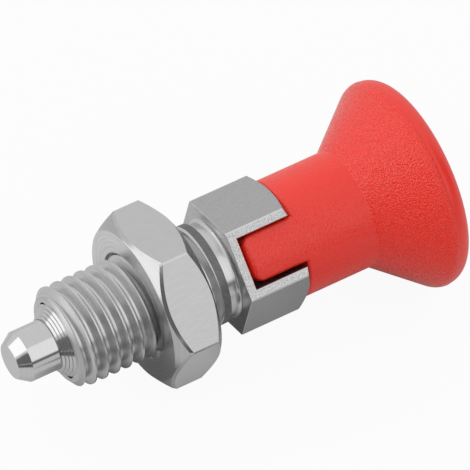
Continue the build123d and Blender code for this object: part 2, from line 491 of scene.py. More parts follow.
def straight_marks_group():
    """Noise stretched along X, or even where both scales are the same."""
    group, entry, leave = new_group(
        "straight_marks", "ShaderNodeTree",
        [("Position", "NodeSocketVector", None), ("Along", "NodeSocketFloat", PER_MM),
         ("Across", "NodeSocketFloat", 6 * PER_MM), ("Detail", "NodeSocketFloat", 3.0)],
        [("Marks", "NodeSocketFloat")],
    )
    scales = add(group, "ShaderNodeCombineXYZ", {
        "X": entry["Along"], "Y": entry["Across"], "Z": entry["Across"],
    }).outputs[0]
    stretched = add(group, "ShaderNodeVectorMath", {
        0: entry["Position"], 1: scales}, operation="MULTIPLY").outputs[0]
    noise = add(group, "ShaderNodeTexNoise", {
        "Vector": stretched, "Scale": 1.0, "Detail": entry["Detail"]})
    group.links.new(noise.outputs[0], leave["Marks"])
    return group


turning_marks = turning_marks_group()
straight_marks = straight_marks_group()

# %% [markdown]
# Each finish is one Principled shader. The marks make small changes to its grey and its
# roughness, and a bump turns the same marks into real scratches. A lathe's rings also
# stretch a reflection across themselves, so the nut's broad faces are anisotropic, with
# the tangent running round the axis.

# %% Steel
noise_low, noise_high = 0.3, 0.7  # the part of its range that a noise really fills
across_tangent = 0.25            # of a turn, so that reflections stretch across the rings


def new_finish(name):
    """Start a material, and return it with its tree and its Principled shader."""
    finish = bpy.data.materials.new(name)
    finish.use_nodes = True
    return finish, finish.node_tree, finish.node_tree.nodes["Principled BSDF"]


def grey_between(tree, share, low, high):
    """A grey that goes from low to high as the share goes from 0 to 1."""
    return add(tree, "ShaderNodeMix", {
        0: share, 6: (low, low, low, 1), 7: (high, high, high, 1),
    }, data_type="RGBA").outputs[2]


def steel(name, pattern, grey, roughness, contrast, depth, anisotropic=0.0):
    """Steel whose grey, roughness and surface follow one pattern. Depth in millimetres."""
    finish, tree, shader = new_finish(name)
    marks, scales = pattern
    position = add(tree, "ShaderNodeTexCoord").outputs["Object"]
    drawn = add(tree, "ShaderNodeGroup", {"Position": position}, node_tree=marks)
    feed(tree, drawn, {label: value * PER_MM for label, value in scales.items()})
    sharpened = add(tree, "ShaderNodeMapRange", {
        "Value": drawn.outputs[0], "From Min": noise_low, "From Max": noise_high,
    }).outputs[0]
    rough = add(tree, "ShaderNodeMapRange", {
        "Value": sharpened, "To Min": roughness * (1 + contrast),
        "To Max": roughness * (1 - contrast),
    }).outputs[0]
    bump = add(tree, "ShaderNodeBump", {"Height": sharpened, "Distance": depth * MM})
    feed(tree, shader, {
        "Base Color": grey_between(tree, sharpened, grey * (1 - contrast), grey * (1 + contrast)),
        "Roughness": rough, "Normal": bump.outputs[0], "Metallic": 1.0,
    })
    if anisotropic:
        tangent = add(tree, "ShaderNodeTangent", direction_type="RADIAL", axis="X")
        feed(tree, shader, {
            "Anisotropic": anisotropic, "Anisotropic Rotation": across_tangent,
            "Tangent": tangent.outputs[0],
        })
    print(f"{name}: grey {grey:.2f}, roughness {roughness:.2f}")
    return finish


# %% Steel finishes
# each pattern's scales, per millimetre
fine_rings = (turning_marks, {"Rings": 7.0, "Wander": 0.25})
broad_rings = (turning_marks, {"Rings": 5.0, "Wander": 0.15})
tumbled = (straight_marks, {"Along": 6.0, "Across": 6.0})
speckles = (straight_marks, {"Along": 9.0, "Across": 9.0})
belt_lines = (straight_marks, {"Along": 0.8, "Across": 12.0})
# pattern, grey, roughness, the marks' contrast and depth in millimetres, anisotropy
steel_rows = {
    "pin": (fine_rings, 0.68, 0.12, 0.03, 0.0003),
    "bush": (fine_rings, 0.64, 0.14, 0.06, 0.0008),
    "spring": (fine_rings, 0.5, 0.3, 0.08, 0.001),
    "turned": (fine_rings, 0.62, 0.28, 0.08, 0.0015),
    "thread": (fine_rings, 0.66, 0.29, 0.12, 0.0015),
    "undercut": (fine_rings, 0.67, 0.2, 0.06, 0.001),
    "edge": (fine_rings, 0.78, 0.3, 0.05, 0.0005),
    "hexagon": (tumbled, 0.48, 0.34, 0.1, 0.003),
    "slot": (tumbled, 0.5, 0.35, 0.08, 0.002),
    "nut": (belt_lines, 0.62, 0.3, 0.05, 0.0015),
    "nut_face": (broad_rings, 0.76, 0.25, 0.12, 0.002, 0.6),
    "nut_edge": (broad_rings, 0.56, 0.16, 0.06, 0.001),
    "lead_in": (fine_rings, 0.56, 0.4, 0.1, 0.002),
    "speckled": (speckles, 0.6, 0.3, 0.4, 0.006),
}
steels = {name: steel(f"{name}_steel", *row) for name, row in steel_rows.items()}

# %% Finish for the plain ring behind the thread, with painted shade
ring_radius = 6.0                # millimetres, which turn an angle into a way round
scratches_across, scratches_along = 5.0, 0.6  # per millimetre
# both greys are painted shade, far darker than the other steels; the scratches are a real bump
ring_painted_shade_low, ring_painted_shade_high = 0.12, 0.3
ring_scratch_depth = 0.003       # millimetres
ring_rough, ring_smooth = 0.5, 0.4


def brushed_ring_steel():
    """Steel whose dark grey is painted shade, with fine slanting scratches that run as a steep
    spiral.
    """
    finish, tree, shader = new_finish("ring_steel")
    place = add(tree, "ShaderNodeSeparateXYZ", {
        0: add(tree, "ShaderNodeTexCoord").outputs["Object"]}).outputs
    turn = math_node(tree, "ARCTAN2", place["Z"], math_node(tree, "MULTIPLY", place["Y"], -1.0))
    round_way = math_node(tree, "MULTIPLY", turn, ring_radius * MM)
    across = math_node(tree, "ADD", place["X"], round_way)
    along = math_node(tree, "SUBTRACT", place["X"], round_way)
    slanting = add(tree, "ShaderNodeCombineXYZ", {
        "X": math_node(tree, "MULTIPLY", across, scratches_across * PER_MM),
        "Y": math_node(tree, "MULTIPLY", along, scratches_along * PER_MM),
    }).outputs[0]
    noise = add(tree, "ShaderNodeTexNoise", {"Vector": slanting, "Scale": 1.0}).outputs[0]
    rough = add(tree, "ShaderNodeMapRange", {
        "Value": noise, "To Min": ring_rough, "To Max": ring_smooth}).outputs[0]
    bump = add(tree, "ShaderNodeBump", {"Height": noise, "Distance": ring_scratch_depth * MM})
    feed(tree, shader, {
        "Base Color": grey_between(tree, noise, ring_painted_shade_low, ring_painted_shade_high),
        "Roughness": rough, "Normal": bump.outputs[0], "Metallic": 1.0,
    })
    return finish


steels["ring"] = brushed_ring_steel()
print("steels:", ", ".join(steels))

# %% [markdown]
# The grip is a glass-filled moulding. Its mould was spark-eroded, which leaves a fine
# even grain. The grain's tiny slopes catch the softbox one by one, so it sparkles where a
# smooth plastic would only fade. An image of the grain would need unwrapping and would
# show a seam, so a noise that fills the grip's own space carries it. The neck and the rim
# are smoother than the flare between them, so the grain and the gloss change in zones
# along the grip.

# %% Red plastic
grip_red = (0.88, 0.018, 0.003)
grain_per_mm = 5.6
grain_depth = 0.13               # millimetres
grain_contrast = 0.3             # how much the grain changes the colour and the roughness
# each zone's end along X in millimetres, its grain's strength, and its roughness
grip_zones = [(16.9, 0.45, 0.3), (24.0, 1.0, 0.14), (None, 0.1, 0.36)]
zone_blend = 0.2                 # millimetres over which one zone passes into the next
plastic_ior, plastic_specular = 1.55, 0.7


def moulded_plastic(name, colour, zones):
    """Plastic whose grain and gloss differ in zones along X."""
    finish, tree, shader = new_finish(name)
    position = add(tree, "ShaderNodeTexCoord").outputs["Object"]
    place = add(tree, "ShaderNodeSeparateXYZ", {0: position}).outputs
    grain = add(tree, "ShaderNodeGroup", {
        "Position": position, "Along": grain_per_mm * PER_MM,
        "Across": grain_per_mm * PER_MM, "Detail": 0.0,
    }, node_tree=straight_marks).outputs[0]
    _, strength, rough = zones[0]
    for (zone_end, _, _), (_, next_strength, next_rough) in zip(zones, zones[1:]):
        past = add(tree, "ShaderNodeMapRange", {
            "Value": place["X"], "From Min": zone_end * MM,
            "From Max": (zone_end + zone_blend) * MM}).outputs[0]
        strength = between(tree, past, strength, next_strength)
        rough = between(tree, past, rough, next_rough)
    height = math_node(tree, "MULTIPLY", grain, strength)
    off_middle = math_node(tree, "SUBTRACT", grain, 0.5)
    swing = math_node(tree, "MULTIPLY", strength, grain_contrast)
    around_one = math_node(tree, "MULTIPLY_ADD", off_middle, swing, 1.0)
    shade = add(tree, "ShaderNodeVectorMath", {0: colour, 1: around_one}, operation="MULTIPLY")
    bump = add(tree, "ShaderNodeBump", {"Height": height, "Distance": grain_depth * MM})
    feed(tree, shader, {
        "Base Color": shade.outputs[0],
        "Roughness": math_node(tree, "DIVIDE", rough, around_one),
        "Normal": bump.outputs[0], "IOR": plastic_ior, "Specular IOR Level": plastic_specular,
    })
    print(f"{name}: {len(zones)} zones, grain of {1 / grain_per_mm:.2f} mm")
    return finish


red_plastic = moulded_plastic("red_plastic", grip_red, grip_zones)

# %% [markdown]
# One turned piece shows several finishes: a cut thread, a ground flat, a broken edge.
# Painting them by hand would be lost with the next change of size. A face's place and the
# way it points say which tool made it, so each piece has a small rule that picks its
# faces' finishes.

# %% Which finish each face gets
def finish_faces(piece, choose):
    """Give each face the finish that choose picks from its place, normal and old finish."""
    mesh = piece.data
    picks = []
    for face in mesh.polygons:
        radius = math.hypot(face.center.y, face.center.z) / MM
        old = mesh.materials[face.material_index] if mesh.materials else None
        picks.append(choose(face.center.x / MM, radius, face.normal, old))
    order = list(dict.fromkeys(picks))
    mesh.materials.clear()
    for finish in order:
        mesh.materials.append(finish)
    for face, finish in zip(mesh.polygons, picks):
        face.material_index = order.index(finish)
    print(piece.name, "finishes:", ", ".join(finish.name for finish in order))


# %% [markdown]
# A screw thread is cut with a pointed tool that runs along the turning bar. A bump can't
# stand in for it, because the crests show in the bar's outline. So the node tree works as
# the lathe does: a spiral carries the tool's section, which shrinks to nothing at both
# ends as the real tool runs out, and the result is taken away from the plain blank. The
# nut's inner thread is the same cut, made outwards from its bore.

# %% The thread-cutting tree
tool_tip = 0.01                  # the tool's size where it has run out, as a share


def cut_thread_tree():
    """Cut a screw thread from a blank: inwards, or outwards where the depth is negative."""
    tree, entry, leave = new_group(
        "cut_thread", "GeometryNodeTree",
        [("Blank", "NodeSocketGeometry", None), ("Pitch", "NodeSocketFloat", 1.5 * MM),
         ("Turns", "NodeSocketFloat", 10.0), ("Mouth Radius", "NodeSocketFloat", 6 * MM),
         ("Depth", "NodeSocketFloat", 1 * MM), ("Mouth Half Width", "NodeSocketFloat", 0.7 * MM),
         ("Root Half Width", "NodeSocketFloat", 0.1 * MM),
         ("Start", "NodeSocketFloat", 0.0), ("Run Out", "NodeSocketFloat", 0.03),
         ("Steps Per Turn", "NodeSocketInt", 90), ("Material", "NodeSocketMaterial", None)],
        [("Mesh", "NodeSocketGeometry")],
    )
    spiral = add(tree, "GeometryNodeCurveSpiral", {
        "Resolution": entry["Steps Per Turn"], "Rotations": entry["Turns"],
        "Start Radius": entry["Mouth Radius"], "End Radius": entry["Mouth Radius"],
        "Height": math_node(tree, "MULTIPLY", entry["Pitch"], entry["Turns"]),
        "Reverse": True,
    })
    upright = add(tree, "GeometryNodeSetCurveNormal", {"Curve": spiral.outputs[0]}, mode="Z_UP")
    corners = {}
    for number, (deep, width, sign) in enumerate((
        (0, "Mouth Half Width", 1), (-1, "Root Half Width", 1),
        (-1, "Root Half Width", -1), (0, "Mouth Half Width", -1),
    )):
        corners[f"Point {number + 1}"] = add(tree, "ShaderNodeCombineXYZ", {
            "X": math_node(tree, "MULTIPLY", entry["Depth"], deep),
            "Y": math_node(tree, "MULTIPLY", entry[width], sign),
        }).outputs[0]
    tool = add(tree, "GeometryNodeCurvePrimitiveQuadrilateral", corners, mode="POINTS")
    along = add(tree, "GeometryNodeSplineParameter").outputs["Factor"]
    from_end = math_node(tree, "MINIMUM", along, math_node(tree, "SUBTRACT", 1.0, along))
    shrink = add(tree, "ShaderNodeMapRange", {
        "Value": from_end, "From Max": entry["Run Out"], "To Min": tool_tip,
    })
    sweep = add(tree, "GeometryNodeCurveToMesh", {
        "Curve": upright.outputs[0], "Profile Curve": tool.outputs[0],
        "Scale": shrink.outputs[0], "Fill Caps": True,
    })
    outwards = add(tree, "FunctionNodeCompare", {
        "A": entry["Depth"], "B": 0.0,
    }, data_type="FLOAT", operation="LESS_THAN")
    closed = add(tree, "GeometryNodeFlipFaces", {
        "Mesh": sweep.outputs[0], "Selection": outwards.outputs[0],
    })
    laid = add(tree, "GeometryNodeTransform", {
        "Geometry": closed.outputs[0], "Rotation": (0, math.pi / 2, 0),
        "Translation": add(tree, "ShaderNodeCombineXYZ", {"X": entry["Start"]}).outputs[0],
    })
    marked = add(tree, "GeometryNodeCaptureAttribute", domain="FACE")
    marked.capture_items.new("BOOLEAN", "cut by the tool")
    feed(tree, marked, {"Geometry": laid.outputs[0], "cut by the tool": True})
    cut = add(tree, "GeometryNodeMeshBoolean", {
        "Mesh 1": entry["Blank"], "Mesh 2": marked.outputs["Geometry"],
    }, operation="DIFFERENCE", solver="EXACT")
    real = add(tree, "GeometryNodeRealizeInstances", {"Geometry": cut.outputs[0]})
    coloured = add(tree, "GeometryNodeSetMaterial", {
        "Geometry": real.outputs[0], "Selection": marked.outputs["cut by the tool"],
        "Material": entry["Material"],
    })
    tree.links.new(coloured.outputs[0], leave[0])
    return tree


def run_tree(piece, tree, values):
    """Run a node tree on a piece and keep the result as its plain mesh."""
    modifier = piece.modifiers.new(tree.name, "NODES")
    modifier.node_group = tree
    for item in tree.interface.items_tree:
        if item.in_out == "INPUT" and item.name in values:
            modifier[item.identifier] = values[item.name]
    keep_result(piece)


cut_thread = cut_thread_tree()

# %% [markdown]
# The guide sleeve is one bar of stainless steel. In front of the shoulder it is turned and
# threaded, with a plain ring and a bright undercut behind the thread. Behind the shoulder
# it keeps the bar's six flats, and a slot is milled across them for the grip's cross-bar.
# The cells keep the workshop's order, which is blank, thread, slot and punch marks, so
# each cut meets the one before it as it does on the real sleeve.

# %% Guide sleeve: blank
sleeve_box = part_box("guide_sleeve")
sleeve_front, hexagon_rear = sleeve_box[0].x / MM, sleeve_box[1].x / MM
thread_radius = 6.0
lead_in_radius, lead_in_length = 5.0, 0.8
ring_front = -2.45               # where the thread has run out and the plain ring starts
undercut_radius, undercut_start, undercut_end = 5.6, -1.45, -0.45
sleeve_across_flats = 14.0
sleeve_corner_angle = 45.0
sleeve_face_radius = 6.9
sleeve_chamfer = math.tan(math.radians(30))
bush_seat_radius, bush_seat_rear = 4.35, -16.4
chamber_radius, chamber_rear, stem_hole_radius = 4.05, -1.5, 2.05
edge_break = 0.04                # at the foot of the flats, and on the pin
broken_edge = 0.07               # at the plain ring's rear
undercut_steps = 12


def sleeve_outline(angle):
    """From the front, along the outside to the rear, and back through the stepped bore."""
    reach = hexagon_reach(angle, sleeve_across_flats, sleeve_corner_angle)
    chamfer_start = hexagon_rear - (reach - sleeve_face_radius) * sleeve_chamfer
    flare = -undercut_end
    return [
        (sleeve_front, bush_seat_radius),
        (sleeve_front, lead_in_radius),
        (sleeve_front + lead_in_length, thread_radius),
        (ring_front, thread_radius),
        (undercut_start - broken_edge, thread_radius),
        (undercut_start, thread_radius - broken_edge),
        (undercut_start, undercut_radius),
        *arc((undercut_end, undercut_radius + flare), flare, -90, 0, undercut_steps),
        (0, reach - edge_break),
        (edge_break, reach),
        (chamfer_start, reach),
        (hexagon_rear, sleeve_face_radius),
        (hexagon_rear, stem_hole_radius),
        (chamber_rear, stem_hole_radius),
        (chamber_rear, chamber_radius),
        (bush_seat_rear, chamber_radius),
        (bush_seat_rear, bush_seat_radius),
    ]


sleeve = turned("guide_sleeve_cut", sleeve_outline, columns(sleeve_corner_angle))
tidy(sleeve)

# %% Guide sleeve: thread
thread_pitch = 1.5
thread_depth = 0.613 * thread_pitch  # as deep as a metric screw's
crest_width = thread_pitch / 9   # a little sharper than a metric screw's eighth
flank_slope = math.tan(math.radians(30))
tool_overlap = 0.08              # how far the tool's mouth stands above the blank
thread_mouth_half = (thread_pitch - crest_width) / 2 + tool_overlap * flank_slope
thread_root_half = thread_mouth_half - (thread_depth + tool_overlap) * flank_slope
groove_at_mid = -15.24           # a groove's centre, on the side that faces the camera
facing_angle = 126.56            # that side, in degrees from +Y towards +Z
tool_start_angle = -90.0         # and the side where the tree's spiral begins
tool_end = -2.9                  # the groove's centre where the tool leaves the bar
run_out_turns = 0.08

groove_phase = groove_at_mid - thread_pitch * (facing_angle - tool_start_angle) / 360
first_turns = math.ceil((groove_phase - sleeve_front) / thread_pitch + 1)
tool_start = groove_phase - first_turns * thread_pitch
tool_turns = (tool_end - tool_start) / thread_pitch
print(f"thread: {tool_turns:.1f} turns of {thread_pitch} mm, {thread_depth:.2f} mm deep")

run_tree(sleeve, cut_thread, {
    "Pitch": thread_pitch * MM, "Turns": tool_turns,
    "Mouth Radius": (thread_radius + tool_overlap) * MM,
    "Depth": (thread_depth + tool_overlap) * MM,
    "Mouth Half Width": thread_mouth_half * MM, "Root Half Width": thread_root_half * MM,
    "Start": tool_start * MM, "Run Out": run_out_turns / tool_turns,
    "Material": steels["thread"],
})
tidy(sleeve)

# %% Guide sleeve: slot
notch_floor, notch_width, notch_angle = 1.1, 6.1, 135.0
slot_edge_break = 0.1            # the milled slot's broken edges, across and along
slot_overrun = 0.5               # how far the cutter runs out past the hexagon
slot_flare = slot_edge_break + slot_overrun


def slot_section(spread):
    """The cutter's section in (x, across), wider by its spread, and flared at the rear."""
    half = notch_width / 2 + spread
    rear = hexagon_rear - slot_edge_break
    return [
        (notch_floor - spread, -half), (rear, -half), (rear + slot_flare, -half - slot_flare),
        (rear + slot_flare, half + slot_flare), (rear, half), (notch_floor - spread, half),
    ]


def loft(name, sections):
    """A closed mesh through sections in millimetres, all with the same number of points."""
    return skin(name, [[Vector(point) * MM for point in section] for section in sections],
                capped=True)


def across_plunger(x, along, across, angle):
    """A point at x, given in the directions of this angle and at right angles to it."""
    turn = math.radians(angle)
    return (x, along * math.cos(turn) - across * math.sin(turn),
            along * math.sin(turn) + across * math.cos(turn))


flat_reach = sleeve_across_flats / 2
sections = []
for way, spread in ((-1, slot_flare), (-1, 0), (1, 0), (1, slot_flare)):
    reach = flat_reach - slot_edge_break + spread
    sections.append([across_plunger(x, way * reach, across, notch_angle)
                     for x, across in slot_section(spread)])
carve(sleeve, loft("slot_cutter", sections))
tidy(sleeve)

# %% [markdown]
# The bush is held by two small punch marks on its seat's edge. The punch is a round bar
# whose edge bites a crescent out of the sleeve's front face.

# %% Guide sleeve: punch marks
punch_radius, punch_bite, punch_depth = 1.6, 0.22, 0.3
punch_angles = (48.0, 228.0)
punch_sides = 48
for angle in punch_angles:
    middle = across_plunger(0, bush_seat_radius + punch_bite - punch_radius, 0, angle)
    rims = []
    for x in (sleeve_front - slot_overrun, sleeve_front + punch_depth):
        rims.append([(x, middle[1] + y, middle[2] + z)
                     for y, z in arc((0, 0), punch_radius, 0, 360, punch_sides)[:-1]])
    carve(sleeve, loft("punch", rims))
tidy(sleeve)

# %% Guide sleeve: finishes
lathe_facing = 0.95              # a normal this close to the axis is a turned face
flat_facing = 0.1                # one that leans less than this along it is a flat or a wall
flat_tolerance = 5               # degrees from a flat's own direction


def off_nearest_flat(normal, corner_angle):
    """Degrees between a normal's direction round the axis and the nearest flat's."""
    around = math.degrees(math.atan2(normal.z, normal.y))
    return abs((around - corner_angle) % 60 - 30)


slot_way = Vector(across_plunger(0, 1, 0, notch_angle))


def sleeve_finish(x, r, normal, old):
    """The finish of one face of the sleeve, from the front to the rear."""
    if old is steels["thread"]:
        return steels["thread"]
    if x < undercut_start - broken_edge:
        if x < sleeve_front + lead_in_length:
            return steels["turned"] if abs(normal.x) > lathe_facing else steels["lead_in"]
        return steels["ring"] if x > ring_front else steels["thread"]
    if x < 0:
        return steels["undercut"]
    if x < edge_break:
        return steels["turned"]
    if abs(normal.x) > lathe_facing:
        return steels["turned"] if x > hexagon_rear - edge_break else steels["slot"]
    if abs(normal.x) > flat_facing:
        return steels["edge"]
    if r < flat_reach - edge_break:
        return steels["slot"]
    if off_nearest_flat(normal, sleeve_corner_angle) > flat_tolerance:
        return steels["edge"]
    return steels["speckled"] if abs(normal.dot(slot_way)) > lathe_facing else steels["hexagon"]


finish_faces(sleeve, sleeve_finish)

# %% [markdown]
# The locknut is a plain hexagon nut, chamfered on both faces. Its bore is countersunk,
# and its thread is cut with the sleeve's pitch and phase, so the two threads mesh. It was
# tumbled, so the line between each flat and the front chamfer is worn round. A Bevel
# modifier would round every edge alike, so the wear is drawn into the outline instead.

# %% Locknut
nut_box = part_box("locknut")
nut_front, nut_rear = nut_box[0].x / MM, nut_box[1].x / MM
nut_across_flats = 18.7
nut_corner_angle = 51.2
nut_face_radius = 9.03
nut_chamfer = math.tan(math.radians(38))
nut_mouth_front, nut_mouth_rear = 6.4, 6.55
nut_minor_radius = 5.2
worn_in, worn_along = 0.25, 0.2  # the worn edge between each flat and the front chamfer
worn_back = worn_in * nut_chamfer


def nut_outline(angle):
    """From the front face, over the flats to the rear face, and back through the bore."""
    reach = hexagon_reach(angle, nut_across_flats, nut_corner_angle)
    rise = max(reach - nut_face_radius, worn_in) * nut_chamfer
    return [
        (nut_front, nut_mouth_front),
        (nut_front, nut_face_radius),
        (nut_front + rise - worn_back, reach - worn_in),
        (nut_front + rise + worn_along, reach),
        (nut_rear - rise, reach),
        (nut_rear, nut_face_radius),
        (nut_rear, nut_mouth_rear),
        (nut_rear - nut_mouth_rear + nut_minor_radius, nut_minor_radius),
        (nut_front + nut_mouth_front - nut_minor_radius, nut_minor_radius),
    ]


nut = turned("locknut_threaded", nut_outline, columns(nut_corner_angle))

# %% Locknut: thread
nut_thread_clearance = 0.03      # at each flank
nut_root_clearance = 0.05        # past the sleeve's crests
spare_turns = 2                  # of the tool, before the nut and behind it
nut_run_out = 0.02               # of the tool's length, well clear of the nut

nut_cut_depth = thread_radius + nut_root_clearance - nut_minor_radius
ridge_half = thread_pitch / 2 - (
    (thread_pitch - crest_width) / 2 - (thread_radius - nut_minor_radius) * flank_slope)
nut_mouth_half = ridge_half + nut_thread_clearance + tool_overlap * flank_slope
nut_root_half = nut_mouth_half - (nut_cut_depth + tool_overlap) * flank_slope
nut_turns = math.ceil((nut_rear - nut_front) / thread_pitch) + 2 * spare_turns
turns_back = math.ceil((groove_phase - nut_front) / thread_pitch) + spare_turns
print(f"nut's thread: {nut_turns} turns, {nut_cut_depth:.2f} mm deep")
run_tree(nut, cut_thread, {
    "Pitch": thread_pitch * MM, "Turns": float(nut_turns),
    "Mouth Radius": (nut_minor_radius - tool_overlap) * MM,
    "Depth": -(nut_cut_depth + tool_overlap) * MM,
    "Mouth Half Width": nut_mouth_half * MM, "Root Half Width": nut_root_half * MM,
    "Start": (groove_phase + thread_pitch / 2 - turns_back * thread_pitch) * MM,
    "Run Out": nut_run_out, "Material": steels["thread"],
})
tidy(nut)

# %% Locknut: finishes
countersink_margin = 1.0         # a face this far inside the rim belongs to the bore


def nut_finish(x, r, normal, old):
    """The finish of one face of the nut."""
    if old is steels["thread"]:
        return steels["thread"]
    if abs(normal.x) > lathe_facing:
        return steels["nut_face"]
    if r < nut_face_radius - countersink_margin:
        return steels["turned"]
    if abs(normal.x) > flat_facing:
        return steels["nut_edge"]
    on_flat = off_nearest_flat(normal, nut_corner_angle) < flat_tolerance
    return steels["nut"] if on_flat else steels["edge"]


finish_faces(nut, nut_finish)

# %% [markdown]
# A bush is pressed into the sleeve's front end and guides the pin. Its nose was turned
# down in small steps, which catch the light as fine rings. They are coarse enough to
# break the nose's outline, so they are shape and not a bump. The punch has pressed them
# flat beside its two marks, so there the nose is a plain cone.

# %% Guide bush
bush_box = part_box("guide_bush")
bush_front, bush_rear = bush_box[0].x / MM, bush_box[1].x / MM
bush_bore = 3.03
nose_land = 0.1                  # the flat ring left round the bore
nose_steps = 4
tread_share = 0.8                # of a step's length that its shallow cone takes
tread_fall = 0.5                 # and of its fall
step_nick = 0.04                 # the small groove at each step's foot
pressed_half = 14                # degrees each side of a punch mark where the nose is a cone


def bush_outline(angle):
    """From the rear, along the pressed outside, and down the nose to the bore."""
    outline = [(bush_rear, bush_bore), (bush_rear, bush_seat_radius)]
    off_punch = min(abs((math.degrees(angle) - mark + 180) % 360 - 180) for mark in punch_angles)
    drop = tread_share if off_punch < pressed_half else tread_fall
    tread = (sleeve_front - bush_front) / nose_steps
    fall = (bush_seat_radius - bush_bore - nose_land) / nose_steps
    for step in range(nose_steps):
        x, r = sleeve_front - step * tread, bush_seat_radius - step * fall
        outline += [(x, r), (x - tread * tread_share, r - fall * drop)]
        if off_punch >= pressed_half:
            outline.append((x - tread + step_nick, r - fall - step_nick))
        else:
            outline.append((x - tread + step_nick, r - fall * (1 - step_nick / tread)))
    return outline + [(bush_front, bush_bore + nose_land), (bush_front, bush_bore)]


bush = turned("bush_stepped", bush_outline, columns())
tidy(bush)
finish_faces(bush, lambda x, r, normal, old: steels["bush"])

# %% [markdown]
# The pin is one long turned piece: a chamfered tip and a guided body, a collar that
# carries the spring, and a thin stem with ring grooves that the grip is moulded round.
# Cylinders set end to end would leave faces inside the steel, so the pin is one outline
# from the tip to the stem's end.

# %% Index pin
pin_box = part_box("index_pin")
pin_tip, stem_end = pin_box[0].x / MM, pin_box[1].x / MM
pin_radius, tip_radius, tip_length = 3.0, 2.13, 1.35
collar_radius, collar_front, collar_rear = 3.97, -16.38, -14.38
stem_radius, groove_radius, groove_width, groove_spacing = 2.0, 1.6, 1.2, 3.0


def stem_outline():
    """The stem's end with its two ring grooves, from the front to the axis."""
    points = []
    for number in (1, 0):
        groove_end = stem_end - groove_width - number * groove_spacing
        points += [
            (groove_end - groove_width, stem_radius),
            (groove_end - groove_width, groove_radius),
            (groove_end, groove_radius),
            (groove_end, stem_radius),
        ]
    return points + [(stem_end, stem_radius), (stem_end, 0)]


def pin_outline(angle):
    """From the tip, over the guided body and the collar, to the stem's end."""
    return [
        (pin_tip, 0),
        (pin_tip, tip_radius - edge_break),
        (pin_tip + edge_break, tip_radius),
        (pin_tip + tip_length, pin_radius),
        (collar_front, pin_radius),
        (collar_front, collar_radius - edge_break),
        (collar_front + edge_break, collar_radius),
        (collar_rear - edge_break, collar_radius),
        (collar_rear, collar_radius - edge_break),
        (collar_rear, stem_radius),
    ] + stem_outline()


pin = turned("index_pin_turned", pin_outline, columns())
tidy(pin)
finish_faces(pin, lambda x, r, normal, old: steels["pin"])

# %% [markdown]
# The spring sits in the sleeve, round the stem. A coil follows a rule, so a node tree
# winds it. The Spiral node has one pitch all along, so this tree starts from a plain
# line: each point is turned a little further and moved along by the pitch there, which
# is close at both ends and open between. The ends are then ground flat.

# %% The spring-winding tree
wire_sides = 16


def spring_tree():
    """Wind a wire round the X axis, with close end coils, and grind its ends flat."""
    tree, entry, leave = new_group(
        "wind_spring", "GeometryNodeTree",
        [("Blank", "NodeSocketGeometry", None), ("Wire Radius", "NodeSocketFloat", 0.3 * MM),
         ("Coil Radius", "NodeSocketFloat", 3 * MM), ("Coils", "NodeSocketFloat", 7.0),
         ("Closed Coils", "NodeSocketFloat", 1.0), ("Opening Turns", "NodeSocketFloat", 0.5),
         ("Closed Pitch", "NodeSocketFloat", 0.7 * MM),
         ("Active Pitch", "NodeSocketFloat", 2 * MM), ("Front", "NodeSocketFloat", 0.0),
         ("Rear", "NodeSocketFloat", 10 * MM), ("Wire Front", "NodeSocketFloat", 0.0),
         ("Steps Per Turn", "NodeSocketInt", 36), ("Material", "NodeSocketMaterial", None)],
        [("Mesh", "NodeSocketGeometry")],
    )
    count = math_node(tree, "ADD", math_node(
        tree, "MULTIPLY", entry["Coils"], entry["Steps Per Turn"]), 1.0)
    line = add(tree, "GeometryNodeCurvePrimitiveLine")
    wire = add(tree, "GeometryNodeResampleCurve", {"Curve": line.outputs[0], "Count": count})
    turn = math_node(tree, "DIVIDE", add(tree, "GeometryNodeInputIndex").outputs[0],
                     entry["Steps Per Turn"])
    from_end = math_node(tree, "MINIMUM", turn, math_node(
        tree, "SUBTRACT", entry["Coils"], turn))
    opened = add(tree, "ShaderNodeClamp", {0: math_node(
        tree, "DIVIDE", math_node(tree, "SUBTRACT", from_end, entry["Closed Coils"]),
        entry["Opening Turns"])}).outputs[0]
    extra = math_node(tree, "SUBTRACT", entry["Active Pitch"], entry["Closed Pitch"])
    pitch = math_node(tree, "MULTIPLY_ADD", opened, extra, entry["Closed Pitch"])
    run = add(tree, "GeometryNodeAccumulateField", {
        "Value": math_node(tree, "DIVIDE", pitch, entry["Steps Per Turn"]),
    }, data_type="FLOAT", domain="POINT").outputs["Trailing"]
    angle = math_node(tree, "MULTIPLY", turn, 2 * math.pi)
    place = add(tree, "ShaderNodeCombineXYZ", {
        "X": math_node(tree, "ADD", run, entry["Wire Front"]),
        "Y": math_node(tree, "MULTIPLY", math_node(tree, "COSINE", angle), entry["Coil Radius"]),
        "Z": math_node(tree, "MULTIPLY", math_node(tree, "SINE", angle), entry["Coil Radius"]),
    })
    coil = add(tree, "GeometryNodeSetPosition", {
        "Geometry": wire.outputs[0], "Position": place.outputs[0],
    })
    section = add(tree, "GeometryNodeCurvePrimitiveCircle", {
        "Resolution": wire_sides, "Radius": entry["Wire Radius"],
    })
    drawn = add(tree, "GeometryNodeCurveToMesh", {
        "Curve": coil.outputs[0], "Profile Curve": section.outputs[0], "Fill Caps": True,
    })
    where = add(tree, "ShaderNodeSeparateXYZ", {
        0: add(tree, "GeometryNodeInputPosition").outputs[0],
    }).outputs
    kept = math_node(tree, "MINIMUM", math_node(
        tree, "MAXIMUM", where["X"], entry["Front"]), entry["Rear"])
    ground = add(tree, "GeometryNodeSetPosition", {
        "Geometry": drawn.outputs[0],
        "Position": add(tree, "ShaderNodeCombineXYZ", {
            "X": kept, "Y": where["Y"], "Z": where["Z"],
        }).outputs[0],
    })
    real = add(tree, "GeometryNodeRealizeInstances", {"Geometry": ground.outputs[0]})
    coloured = add(tree, "GeometryNodeSetMaterial", {
        "Geometry": real.outputs[0], "Material": entry["Material"],
    })
    tree.links.new(coloured.outputs[0], leave[0])
    return tree


